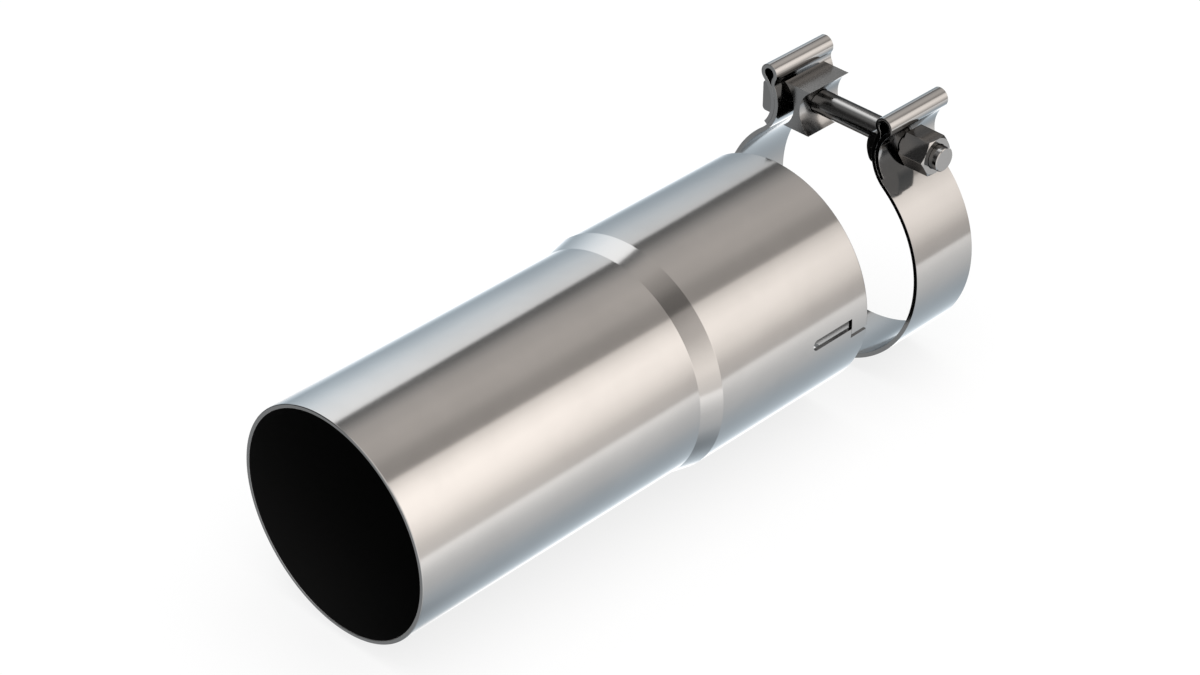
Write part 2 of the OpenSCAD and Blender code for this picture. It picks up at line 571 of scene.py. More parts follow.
@dataclass(frozen=True)
class Steel:
    """A satin or plated steel with fine lines, soft stains and a slightly uneven gloss.

    Each noise has a scale, a detail and a roughness. Steel that is seen in a reflection of steel
    has its colour darkened by a share, a painted shade which keeps the clamp's crevices dark.
    Where the steel has shaded bore walls, its inside is painted near black as painted shade: a
    place on X and the bore's radius there, at both ends of the cone.
    """

    name: str
    tone: tuple[float, float, float]
    grain: Grain
    roughness: float = 0.14
    uneven: float = 0.03
    line_noise: tuple[float, float, float] = (900.0, 4.0, 0.65)
    line_stretch: float = 0.006
    bar_stretch: float = 0.036
    line_depth: float = 0.002 * MM
    cloud_noise: tuple[float, float, float] = (26.0, 4.0, 0.6)
    cloud_steps: tuple[float, float] = (0.35, 0.65)
    fine_noise: tuple[float, float, float] = (1400.0, 2.0, 0.5)
    fine_share: float = 0.3
    stain: float = 0.025
    # Painted shade: where steel is seen in a reflection, a share of its colour is darkened towards
    # the dark tone, which keeps crevices dark.
    mirrored_loss: float = 0.75
    # Painted shade: the bore's inner wall is painted near black and rough, standing in for the
    # dark inside of the pipe.
    shaded_bore_walls: tuple[tuple[float, float], ...] = ()
    shaded_bore_edge: tuple[float, float] = (0.05 * MM, 0.20 * MM)
    painted_shade_tone: tuple[float, float, float] = (0.006, 0.006, 0.006)
    shaded_bore_rough: float = 0.45
    shaded_bore_gloss: float = 0.15

    def make(self) -> bpy.types.Material:
        """Builds the material.

        Returns:
            The material, with its lines, its stains and its sooty bore where it has one.
        """
        surface = Material(self.name)
        place = surface.place()
        x, y, z = surface.split(place)
        lines = surface.noise(self._line_vector(surface, x, y, z), *self.line_noise)
        cloud = surface.noise(place, *self.cloud_noise)
        fine = surface.noise(place, *self.fine_noise)
        dark = tuple(c * (1.0 - self.stain) for c in self.tone)
        light = tuple(min(1.0, c * (1.0 + self.stain)) for c in self.tone)
        colour = surface.blend(surface.remap(cloud, *self.cloud_steps, 0.0, 1.0), dark, light)
        rough = self.roughness + (lines - 0.5) * self.uneven + (cloud - 0.5) * self.uneven
        metal: Any = 1.0
        # The bore's inner wall is painted near black, rough and not metal: painted shade for the
        # pipe's dark inside.
        if self.shaded_bore_walls:
            bore_shade = self._shaded_bore(surface, x, y, z)
            colour = surface.blend(bore_shade, colour, self.painted_shade_tone)
            rough = rough + bore_shade * self.shaded_bore_rough
            metal = 1.0 - bore_shade
        # Steel seen in a reflection is darkened towards the dark tone: painted shade that keeps
        # crevices dark.
        mirrored = surface.node("ShaderNodeLightPath", None, None, "Is Glossy Ray")
        colour = surface.blend(mirrored * self.mirrored_loss, colour, self.painted_shade_tone)
        height = lines + fine * self.fine_share
        bumped = surface.node("ShaderNodeBump", None,
                              {"Height": height, "Distance": self.line_depth, "Strength": 1.0})
        shader = surface.node("ShaderNodeBsdfPrincipled", None,
                              {"Base Color": colour, "Roughness": rough, "Metallic": metal,
                               "Normal": bumped, "Specular IOR Level": self.shaded_bore_gloss})
        return surface.finish(shader)

    def _shaded_bore(self, surface: Material, x: Wire, y: Wire, z: Wire) -> Wire:
        """Returns one on the inner wall that is painted near black as shade, and nought on the
        rest.

        Args:
            surface: The material.
            x: The place along the pipe.
            y: The place across it.
            z: The height.

        Returns:
            The mask, which follows the wall's two radii and the cone between them.
        """
        (cone_start, small), (cone_end, large) = self.shaded_bore_walls
        limit = surface.node("ShaderNodeMapRange", None,
                             {"Value": x, "From Min": cone_start, "From Max": cone_end,
                              "To Min": small, "To Max": large})
        past = (y * y + z * z).call("SQRT") - limit
        return surface.remap(past, *self.shaded_bore_edge, 1.0, 0.0)

    def _line_vector(self, surface: Material, x: Wire, y: Wire, z: Wire) -> Wire:
        """Returns the vector that stretches the noise into lines.

        Args:
            surface: The material.
            x: The place along the pipe.
            y: The place across it.
            z: The height.

        Returns:
            The stretched vector.
        """
        if self.grain is Grain.ALONG_PIPE:
            return surface.vector(x * self.line_stretch, y, z)
        if self.grain is Grain.ALONG_BARS:
            return surface.vector(x * self.bar_stretch, y, z)
        uv = surface.node("ShaderNodeUVMap", {"uv_map": "UVMap"})
        along, across, _ = surface.split(uv)
        return surface.vector(along * self.line_stretch, across, 0.0)


PIPE_STEEL = Steel("satin_tube_steel", (0.70, 0.69, 0.68), Grain.ALONG_PIPE)
BAND_STEEL = Steel("satin_strip_steel", (0.70, 0.69, 0.68), Grain.ALONG_STRIP, roughness=0.12)
BOLT_STEEL = Steel("plated_bolt_steel", (0.60, 0.59, 0.58), Grain.ALONG_BARS, roughness=0.16)
BLOCK_STEEL = Steel("plain_block_steel", (0.64, 0.63, 0.62), Grain.ALONG_BARS, roughness=0.20)


# The pipe


@dataclass
class ConnectionPipe:
    """The tube with its cone, its socket and the socket's Z slots."""

    tube_r: float = 44.45 * MM
    wall: float = 1.6 * MM
    tube_len: float = 130.8 * MM
    cone_len: float = 9.6 * MM
    socket_len: float = 77.2 * MM
    slip_gap: float = 0.4 * MM
    rim_r: float = 0.35 * MM
    corner_r: float = 1.0 * MM
    slot_count: int = 2
    slot_w: float = 4.4 * MM
    slot_reach: float = 29.6 * MM
    slit_w: float = 1.6 * MM
    slit_len: float = 8.6 * MM
    slot_step: float = 5.4 * MM
    shear_w: float = 0.12 * MM
    slot_rise: float = 1.4 * MM
    tool_past: float = 3.0 * MM
    segments: int = 420
    ring_step: float = 2.6 * MM
    sharp_angle: float = 25.0
    node: str = "connection_pipe"
    slot: str = "pipe_steel"

    @property
    def length(self) -> float:
        """The whole length, from the small end to the socket's end."""
        return self.tube_len + self.cone_len + self.socket_len

    @property
    def socket_r(self) -> float:
        """The socket's outside radius."""
        return self.tube_r + self.slip_gap + self.wall

    @property
    def bores(self) -> tuple[Point, Point]:
        """The cone's start and end on X, each with the bore's radius there."""
        return ((self.tube_len, self.tube_r - self.wall),
                (self.tube_len + self.cone_len, self.tube_r + self.slip_gap))

    def _soft_corner(self, before: Point, corner: Point, after: Point, radius: float,
                     steps: int = 8) -> list[Point]:
        """Rounds one corner of the profile.

        Args:
            before: The point before the corner.
            corner: The corner.
            after: The point after it.
            radius: The radius of the rounding.
            steps: How many pieces make it.

        Returns:
            Points on the rounding, in order.
        """
        here = Vector(corner)
        back = (Vector(before) - here).normalized()
        ahead = (Vector(after) - here).normalized()
        half = back.angle(ahead) / 2
        reach = radius / math.tan(half)
        centre = here + (back + ahead).normalized() * (radius / math.sin(half))
        first, last = here + back * reach - centre, here + ahead * reach - centre
        turn = first.angle_signed(last)
        points = []
        for i in range(steps + 1):
            spun = Matrix.Rotation(-turn * i / steps, 2) @ first
            points.append(tuple(centre + spun))
        return points

    def profile(self) -> list[Point]:
        """Returns the wall's closed outline as places on X and radii."""
        (_, bore), (cone_end, socket_bore) = self.bores
        corners = [((0.0, bore), self.rim_r), ((0.0, self.tube_r), self.rim_r),
                   ((self.tube_len, self.tube_r), self.corner_r),
                   ((cone_end, self.socket_r), self.corner_r),
                   ((self.length, self.socket_r), self.rim_r),
                   ((self.length, socket_bore), self.rim_r),
                   ((cone_end, socket_bore), self.corner_r),
                   ((self.tube_len, bore), self.corner_r)]
        points: list[Point] = []
        for i, (corner, radius) in enumerate(corners):
            before, after = corners[i - 1][0], corners[(i + 1) % len(corners)][0]
            points += self._soft_corner(before, corner, after, radius)
        dense: list[Point] = []
        for first, second in zip(points, points[1:] + points[:1]):
            count = max(1, math.ceil((Vector(second) - Vector(first)).length / self.ring_step))
            dense += [tuple(Vector(first).lerp(Vector(second), i / count)) for i in range(count)]
        return dense

    def slot_tool(self) -> bpy.types.Mesh:
        """Makes the cutter of one Z slot, on the -Y side."""
        jog = self.length - self.slit_len
        start = self.length - self.slot_reach + self.slot_w / 2
        low, high = self.slot_rise - self.slot_w / 2, self.slot_rise + self.slot_w / 2
        slit = self.slot_rise - self.slot_step
        slit_low, slit_high = slit - self.slit_w / 2, slit + self.slit_w / 2
        end = self.length + self.tool_past
        outline = [(end, slit_low), (end, slit_high), (jog, slit_high), (jog, high)]
        outline += arc((start, self.slot_rise), self.slot_w / 2, 90, 270, 6)
        outline += [(jog - self.shear_w, low), (jog - self.shear_w, slit_low)]
        outside, inside = -self.socket_r - self.tool_past, -self.socket_r / 2
        return bar("slot_tool", [(x, outside, z) for x, z in outline],
                   [(x, inside, z) for x, z in outline])

    def build(self) -> bpy.types.Object:
        """Turns the profile round the axis, cuts the slots and dresses the pipe.

        Returns:
            The finished pipe.
        """
        profile = self.profile()
        start = bpy.data.meshes.new("pipe_profile")
        start.from_pydata([(x, r, 0.0) for x, r in profile], [], [])
        tool = link(bpy.data.objects.new("slot_tool", self.slot_tool()))
        tree = self._tree(len(profile))
        pipe = tree.run("pipe_wall", start, {"Segments": self.segments, "Slot tool": tool,
                                             "Slots": self.slot_count})
        bpy.data.objects.remove(tool)
        return enrol(smooth(pipe, self.sharp_angle), self.node)

    def _tree(self, count: int) -> ShapeTree:
        """Writes the tree that turns a profile and cuts a ring of slots.

        Args:
            count: How many points the profile has.

        Returns:
            The tree.
        """
        tree = ShapeTree("pipe_wall_tree")
        segments = tree.size("Segments", "NodeSocketInt")
        tool = tree.size("Slot tool", "NodeSocketObject")
        slots = tree.size("Slots", "NodeSocketInt")
        grid = tree.node("GeometryNodeMeshGrid", None,
                         {"Vertices X": segments + 1, "Vertices Y": count + 1})
        index = tree.node("GeometryNodeInputIndex")
        around = (index / (count + 1)).call("FLOOR")
        place = (index - around * (count + 1)) % count
        position = tree.node("GeometryNodeInputPosition")
        sampled = tree.node("GeometryNodeSampleIndex",
                            {"data_type": "FLOAT_VECTOR", "domain": "POINT"},
                            {"Geometry": tree.start(), "Value": position, "Index": place})
        x, radius, _ = tree.split(sampled)
        angle = around / segments * (2 * math.pi)
        spot = tree.vector(x, radius * angle.call("COSINE"), radius * angle.call("SINE"))
        wall = tree.node("GeometryNodeSetPosition", None, {"Geometry": grid, "Position": spot})
        wall = tree.node("GeometryNodeMergeByDistance", None,
                         {"Geometry": wall, "Distance": GRID_MERGE})
        ring = tree.node("GeometryNodeMeshLine", None, {"Count": slots, "Offset": (0.0, 0.0, 0.0)})
        cutter = tree.node("GeometryNodeObjectInfo", None, {"Object": tool}, "Geometry")
        turn = tree.node("GeometryNodeInputIndex") / slots * (2 * math.pi)
        cutters = tree.node("GeometryNodeInstanceOnPoints", None,
                            {"Points": ring, "Instance": cutter,
                             "Rotation": tree.vector(turn, 0.0, 0.0)})
        cutters = tree.node("GeometryNodeRealizeInstances", None, {0: cutters})
        cut = tree.node("GeometryNodeMeshBoolean", {"operation": "DIFFERENCE", "solver": "EXACT"},
                        {"Mesh 1": wall, "Mesh 2": cutters})
        # The pipe's bore is painted near black inside as painted shade.
        tree.end(cut, replace(PIPE_STEEL, shaded_bore_walls=self.bores).make())
        return tree


# The clamp


@dataclass
class ClampSizes:
    """The sizes that the clamp's pieces share, and the places that follow from them."""

    socket_r: float = 46.45 * MM
    start_x: float = 243.3 * MM
    band_w: float = 31.9 * MM
    band_t: float = 1.7 * MM
    band_gap: float = 0.25 * MM
    seat_r: float = 16.7 * MM
    bolt_rise: float = 1.7 * MM
    seat_rise: float = 1.0 * MM
    roll_r: float = 3.85 * MM
    roll_angle: float = 46.5
    part_angle: float = 26.0
    fold_angle: float = 40.0
    bolt_r: float = 4.75 * MM
    bar_len: float = 25.4 * MM
    bar_h: float = 12.7 * MM
    seat_gap: float = 0.1 * MM

    @property
    def ring_r(self) -> float:
        """The inside radius of the ring."""
        return self.socket_r + self.band_gap

    @property
    def mid_x(self) -> float:
        """The middle of the band on X."""
        return self.start_x + self.band_w / 2

    @property
    def bolt_z(self) -> float:
        """The height of the bolt's line."""
        return self.ring_r + self.bolt_rise

    @property
    def seat_z(self) -> float:
        """The height of the middle of the lugs' seats."""
        return self.bolt_z + self.seat_rise

    @property
    def lug_y(self) -> float:
        """The centre of a lug's seat on Y."""
        return math.sqrt((self.ring_r + self.seat_r) ** 2 - self.seat_z ** 2)

    @property
    def fold_r(self) -> float:
        """The radius of a lug's hollow outer face."""
        return self.seat_r - 2 * self.band_t

    @property
    def seat_y(self) -> float:
        """The inner face of a lug at the middle of its seat."""
        return self.lug_y - self.seat_r

    @property
    def centre(self) -> Vector:
        """The point on the bolt's line at the middle of the band."""
        return Vector((self.mid_x, 0.0, self.bolt_z))

    def bolt_hole(self, start: float, end: float, gap: float) -> bpy.types.Mesh:
        """Makes the cutter of a hole for the bolt.

        Args:
            start: Where the cutter starts on Y.
            end: Where it ends.
            gap: The play round the bolt.

        Returns:
            The cutter.
        """
        radius = self.bolt_r + gap
        return turned("hole", [(start, 0.0), (start, radius), (end, radius), (end, 0.0)],
                      self.centre)


@dataclass
class ClampBand:
    """The strip that is bent to a ring with a rolled and folded lug at each end."""

    sizes: ClampSizes
    layer_gap: float = 0.01 * MM
    edge_r: float = 0.05 * MM
    hole_gap: float = 0.5 * MM
    edge_steps: int = 4
    hole_segments: int = 96
    sharp_angle: float = 32.0
    node: str = "clamp_band"
    slot: str = "band_steel"

    def centreline(self) -> list[Point]:
        """Returns the middle of the strip, from one folded end round the ring to the other.

        The folded layer climbs the hollow side of the lug, rolls over at the top, comes down
        on the seat side and runs into the ring.
        """
        s = self.sizes
        half = s.band_t / 2
        lug = Vector((s.lug_y, s.seat_z))
        join = math.degrees(math.atan2(s.seat_z, s.lug_y))
        roll_reach = s.roll_r + s.fold_r
        roll = lug + roll_reach * toward(180 - s.roll_angle)
        short = s.seat_r - s.roll_r
        reach = (roll_reach ** 2 - short ** 2) / (
            2 * (roll_reach * math.cos(math.radians(s.roll_angle - s.part_angle)) - short))
        neck_r = reach - s.seat_r
        neck = lug + reach * toward(180 - s.part_angle)
        neck_angle = math.degrees(math.atan2(roll.y - neck.y, roll.x - neck.x))
        fold = arc(tuple(lug), s.fold_r + half - self.layer_gap,
                   180 + s.fold_angle, 180 - s.roll_angle, 1.5)
        over = arc(tuple(roll), s.roll_r - half, -s.roll_angle, 180 + neck_angle, 4)
        neck_arc = arc(tuple(neck), neck_r + half, neck_angle, -s.part_angle, 3)
        seat = arc(tuple(lug), s.seat_r - half, 180 - s.part_angle, 180 + join, 1.5)
        ring = arc((0.0, 0.0), s.ring_r + half, join, -90, 1)
        one_side = fold[:-1] + over[:-1] + neck_arc[:-1] + seat[:-1] + ring
        other = [(-y, z) for y, z in reversed(one_side[:-1])]
        return one_side + other

    def build(self) -> bpy.types.Object:
        """Sweeps the strip along its centreline, drills the lugs and dresses the band.

        Returns:
            The finished band.
        """
        s = self.sizes
        line = self.centreline()
        start = bpy.data.meshes.new("band_centreline")
        start.from_pydata([(s.mid_x, y, z) for y, z in line],
                          [(i, i + 1) for i in range(len(line) - 1)], [])
        band = self._tree().run("band_strip", start, {
            "Width": s.band_w, "Thickness": s.band_t - self.layer_gap, "Edge radius": self.edge_r,
            "Hole radius": s.bolt_r + self.hole_gap, "Hole place": s.centre,
            "Hole length": 2 * s.lug_y})
        return enrol(smooth(band, self.sharp_angle), self.node)

    def _tree(self) -> ShapeTree:
        """Writes the tree that sweeps a flat strip along a line and drills it.

        Returns:
            The tree.
        """
        tree = ShapeTree("band_strip_tree")
        width, thickness = tree.size("Width"), tree.size("Thickness")
        edge = tree.size("Edge radius")
        hole_r, hole_len = tree.size("Hole radius"), tree.size("Hole length")
        hole_place = tree.size("Hole place", "NodeSocketVector")
        path = tree.node("GeometryNodeMeshToCurve", None, {"Mesh": tree.start()})
        section = tree.node("GeometryNodeCurvePrimitiveQuadrilateral", None,
                            {"Width": width, "Height": thickness})
        section = tree.node("GeometryNodeFilletCurve", {"mode": "POLY"},
                            {"Curve": section, "Radius": edge, "Count": self.edge_steps})
        along = tree.node("GeometryNodeSplineParameter", None, None, "Length")
        across = tree.node("GeometryNodeSplineParameter", None, None, "Length")
        path, run_along = self._keep(tree, path, along)
        section, run_across = self._keep(tree, section, across)
        strip = tree.node("GeometryNodeCurveToMesh", None,
                          {"Curve": path, "Profile Curve": section, "Fill Caps": True})
        strip = tree.node("GeometryNodeStoreNamedAttribute",
                          {"data_type": "FLOAT2", "domain": "CORNER"},
                          {"Geometry": strip, "Name": "UVMap",
                           "Value": tree.vector(run_along, run_across, 0.0)})
        hole = tree.node("GeometryNodeMeshCylinder", None,
                         {"Vertices": self.hole_segments, "Radius": hole_r, "Depth": hole_len},
                         "Mesh")
        hole = tree.node("GeometryNodeTransform", None,
                         {"Geometry": hole, "Translation": hole_place,
                          "Rotation": (math.pi / 2, 0.0, 0.0)})
        cut = tree.node("GeometryNodeMeshBoolean", {"operation": "DIFFERENCE", "solver": "EXACT"},
                        {"Mesh 1": strip, "Mesh 2": hole})
        tree.end(cut, BAND_STEEL.make())
        return tree

    @staticmethod
    def _keep(tree: ShapeTree, geometry: Wire, value: Wire) -> tuple[Wire, Wire]:
        """Captures a value on a geometry before it is swept.

        Args:
            tree: The tree.
            geometry: The curve.
            value: The value at its points.

        Returns:
            The curve and the kept value.
        """
        node = tree.tree.nodes.new("GeometryNodeCaptureAttribute")
        node.capture_items.new("FLOAT", "Kept")
        tree.tree.links.new(geometry.socket, node.inputs["Geometry"])
        tree.tree.links.new(value.socket, node.inputs["Kept"])
        return Wire(tree, node.outputs["Geometry"]), Wire(tree, node.outputs["Kept"])


@dataclass
class BarHeadBolt:
    """The bolt, whose head is a bar with a round side that lies in the +Y lug's hollow."""

    sizes: ClampSizes
    head_t: float = 7.0 * MM
    head_edge_r: float = 1.5 * MM
    nut_h: float = 11.3 * MM
    nut_half: float = 7.15 * MM
    tail: float = 3.7 * MM
    chamfer: float = 0.3 * MM
    edge_r: float = 0.25 * MM
    node: str = "bar_head_bolt"
    slot: str = "bolt_steel"

    @property
    def nut_seat_y(self) -> float:
        """Where the nut bears, as a distance from the middle plane."""
        s = self.sizes
        return s.lug_y - math.sqrt(s.fold_r ** 2 - (self.nut_half + s.seat_rise) ** 2) + s.seat_gap

    @property
    def tip_y(self) -> float:
        """The bolt's end, as a distance from the middle plane."""
        return self.nut_seat_y + self.nut_h + self.tail

    def build(self) -> bpy.types.Object:
        """Makes the bar head, joins the shank to it and dresses the bolt.

        Returns:
            The finished bolt.
        """
        s = self.sizes
        fold_y = s.lug_y - s.fold_r
        head_y = fold_y + self.head_t
        round_r = s.fold_r - s.seat_gap
        half = s.bar_h / 2
        swing = math.degrees(math.asin(half / round_r))
        outline = arc((s.lug_y, s.seat_z), round_r, 180 - swing, 180 + swing, 2)
        edge = self.head_edge_r
        outline += arc((head_y - edge, s.seat_z - half + edge), edge, -90, 0, 9)
        outline += arc((head_y - edge, s.seat_z + half - edge), edge, 0, 90, 9)
        head = prism("head", outline, s.mid_x - s.bar_len / 2, s.bar_len)
        root_y = head_y - 2 * edge
        shank = turned("shank", [(-self.tip_y, 0.0), (-self.tip_y, s.bolt_r - self.chamfer),
                                 (-self.tip_y + self.chamfer, s.bolt_r),
                                 (root_y, s.bolt_r), (root_y, 0.0)], s.centre)
        bolt = drilled("bar_bolt", head, [shank], self.edge_r, BOLT_STEEL.make(), "UNION")
        return enrol(bolt, self.node)


@dataclass
class SpacerBlock:
    """The block with two hollow sides that keeps the lugs apart."""

    sizes: ClampSizes
    length: float = 21.8 * MM
    height: float = 18.8 * MM
    waist: float = 2.8 * MM
    hollow_r: float = 11.5 * MM
    stand: float = 5.0 * MM
    hole_gap: float = 0.3 * MM
    edge_r: float = 0.3 * MM
    node: str = "spacer_block"
    slot: str = "block_steel"

    def build(self) -> bpy.types.Object:
        """Makes the block, drills it for the bolt and dresses it.

        Returns:
            The finished block.
        """
        s = self.sizes
        middle = s.seat_y - self.stand
        reach = self.waist / 2 + self.hollow_r
        swing = math.degrees(math.asin(self.height / 2 / self.hollow_r))
        outline = arc((middle + reach, s.bolt_z), self.hollow_r, 180 + swing, 180 - swing, 2)
        outline += arc((middle - reach, s.bolt_z), self.hollow_r, swing, -swing, 2)
        block = prism("block", outline, s.mid_x - self.length / 2, self.length)
        hole = s.bolt_hole(middle - self.height, middle + self.height, self.hole_gap)
        piece = drilled("spacer", block, [hole], self.edge_r, BLOCK_STEEL.make())
        return enrol(piece, self.node)


@dataclass
class SaddleBar:
    """The bar inside the -Y lug, with a round nose and a hollow back."""

    sizes: ClampSizes
    thick: float = 5.1 * MM
    nose_r: float = 11.0 * MM
    nose_edge_r: float = 2.0 * MM
    hole_gap: float = 0.3 * MM
    edge_r: float = 0.25 * MM
    node: str = "saddle_bar"
    slot: str = "block_steel"

    def build(self) -> bpy.types.Object:
        """Makes the bar, drills it for the bolt and dresses it.

        Returns:
            The finished bar.
        """
        s = self.sizes
        half = s.bar_h / 2
        nose = s.seat_y - self.thick
        nose_centre = nose + self.nose_r
        edge_z = half - self.nose_edge_r
        edge_y = nose_centre - math.sqrt((self.nose_r - self.nose_edge_r) ** 2 - edge_z ** 2)
        tangent = math.degrees(math.atan2(edge_z, nose_centre - edge_y))
        seat_r = s.seat_r + s.seat_gap
        swing = math.degrees(math.asin(half / seat_r))
        outline = arc((s.lug_y, s.seat_z), seat_r, 180 + swing, 180 - swing, 2)
        outline += arc((edge_y, s.seat_z + edge_z), self.nose_edge_r, 90, 180 - tangent, 6)
        outline += arc((nose_centre, s.seat_z), self.nose_r, 180 - tangent, 180 + tangent, 2)[1:]
        outline += arc((edge_y, s.seat_z - edge_z), self.nose_edge_r, 180 + tangent, 270, 6)[1:]
        mirrored = [(-y, z) for y, z in outline]
        solid = prism("saddle", mirrored, s.mid_x - s.bar_len / 2, s.bar_len)
        reach = 2 * self.thick
        hole = s.bolt_hole(-s.seat_y - reach, reach - nose, self.hole_gap)
        piece = drilled("saddle", solid, [hole], self.edge_r, BLOCK_STEEL.make())
        return enrol(piece, self.node)


@dataclass
class HexNut:
    """The six-sided nut on the bolt's end, with chamfered corners."""

    bolt: BarHeadBolt
    flat: float = 14.3 * MM
    chamfer: float = 0.6 * MM
    chamfer_steps: int = 8
    corner_cut: float = 0.0525 * MM
    thread_gap: float = 0.05 * MM
    seat_relief: float = 0.4 * MM
    end_relief: float = 0.2 * MM
    segments: int = 192
    sharp_angle: float = 20.0
    node: str = "hex_nut"
    slot: str = "bolt_steel"

    def _hex_radius(self, angle: float) -> float:
        """Returns the outline's radius at an angle from +X, with slightly cut corners.

        Args:
            angle: The angle in radians.

        Returns:
            The radius in metres.
        """
        half = self.flat / 2
        third = math.pi / 3
        off = (angle % third) - third / 2
        corner = half / math.cos(third / 2) - self.corner_cut
        return min(half / math.cos(off), corner)

    def build(self) -> bpy.types.Object:
        """Makes the nut row by row along the bolt and dresses it.

        Returns:
            The finished nut.
        """
        s = self.bolt.sizes
        seat, end = self.bolt.nut_seat_y, self.bolt.nut_seat_y + self.bolt.nut_h
        hole = s.bolt_r + self.thread_gap
        limit = self.flat / 2
        rows: list[Point] = [(seat, hole + self.seat_relief), (seat, self.flat)]
        for i in range(self.chamfer_steps + 1):
            left = self.chamfer * (1 - i / self.chamfer_steps)
            rows.append((end - left, limit + 2 * left))
        rows += [(end, limit), (end, hole + self.end_relief), (end - self.end_relief, hole),
                 (seat + self.seat_relief, hole)]
        shape = bmesh.new()
        rings = []
        for y, most in rows:
            ring = []
            for k in range(self.segments):
                angle = 2 * math.pi * k / self.segments
                radius = min(self._hex_radius(angle), most)
                ring.append(shape.verts.new((s.mid_x + radius * math.cos(angle), -y,
                                             s.bolt_z + radius * math.sin(angle))))
            rings.append(ring)
        for first, second in zip(rings, rings[1:] + rings[:1]):
            for k in range(self.segments):
                j = (k + 1) % self.segments
                shape.faces.new((first[k], first[j], second[j], second[k]))
        bmesh.ops.remove_doubles(shape, verts=shape.verts, dist=ROW_MERGE)
        mesh = written("nut", shape)
        mesh.materials.append(BOLT_STEEL.make())
        nut = smooth(link(bpy.data.objects.new("nut", mesh)), self.sharp_angle)
        return enrol(nut, self.node)


# The studio


@dataclass(frozen=True)
class Stop:
    """A line along X on a soft panel, between two of which the light changes evenly.

    The angle is in degrees from +Y towards +Z, at the panel's middle on X. The warmth is above
    nought for warm light and below it for cool light. The reach is the place on X from which the
    light is full, the rise is the length over which it grows to that, the fade is the share of
    it lost per metre along X, and the lean is how many degrees the line turns per metre. The
    back is the least share of the light on the -X side of the panel's gap.
    """

    angle: float
    level: float
    warmth: float = 0.0
    reach: float = 0.2
    rise: float = 0.5
    fade: float = 0.0
    lean: float = 0.0
    back: float = 0.0


def eased(value: float, start: float, end: float) -> float:
    """Returns a soft step from nought at the start to one at the end.

    Args:
        value: The value.
        start: Where the step starts.
        end: Where it ends, on either side of the start.

    Returns:
        The step's height.
    """
    share = min(1.0, max(0.0, (value - start) / (end - start)))
    return share * share * (3 - 2 * share)


@dataclass(frozen=True)
class Panel:
    """A soft light panel round the pipe's axis, seen only in reflections.

    Past the fall the light drops to the far share, and a stop's light is dim before its reach.
    A stop's fade stays within two shares. A warmth of one lifts red and lowers blue by the tint.
    """

    name: str
    stops: tuple[Stop, ...]
    near: float
    far: float
    middle: float = 1.5
    radius: float = 2.0
    dim: float = 0.12
    gap_start: float = 0.15
    gap_end: float = 0.5
    fall_start: float = 2.1
    fall_end: float = 2.9
    far_dim: float = 0.28
    fade_low: float = 0.35
    fade_high: float = 1.45
    tint: Point = (0.06, 0.05)
    stations: int = 60

    def _share(self, stop: Stop, x: float) -> float:
        """Returns the share of a stop's light at one place on X.

        Args:
            stop: The stop.
            x: The place on X.

        Returns:
            The share: dim before the stop's reach, and dim again at the panel's far end.
        """
        share = min(self.fade_high, max(self.fade_low, 1.0 - stop.fade * (x - self.middle)))
        share *= self.dim + (1.0 - self.dim) * eased(x, stop.reach - stop.rise, stop.reach)
        share = max(share, stop.back * eased(x, self.gap_end, self.gap_start))
        return share * (1.0 - (1.0 - self.far_dim) * eased(x, self.fall_start, self.fall_end))

    def line(self, stop: Stop, x: float) -> tuple[Place, list[float]]:
        """Returns a stop's place and colour at one place on X.

        Args:
            stop: The stop.
            x: The place on X.

        Returns:
            The point on the panel and its red, green, blue and alpha.
        """
        angle = math.radians(stop.angle + stop.lean * (x - self.middle))
        level = stop.level * self._share(stop, x)
        red, blue = 1 + self.tint[0] * stop.warmth, 1 - self.tint[1] * stop.warmth
        place = (x, self.radius * math.cos(angle), self.radius * math.sin(angle))
        return place, [level * red, level, level * blue, 1.0]

    def dense(self, step: float = 2.0) -> list[Stop]:
        """Returns the stops with more of them in between, so that the panel is round.

        Args:
            step: The greatest angle between two stops.

        Returns:
            The stops in order.
        """
        filled: list[Stop] = []
        for first, second in zip(self.stops, self.stops[1:]):
            count = max(1, math.ceil((second.angle - first.angle) / step))
            for i in range(count):
                values = [start + (end - start) * i / count
                          for start, end in zip(astuple(first), astuple(second))]
                filled.append(Stop(*values))
        return filled + [self.stops[-1]]


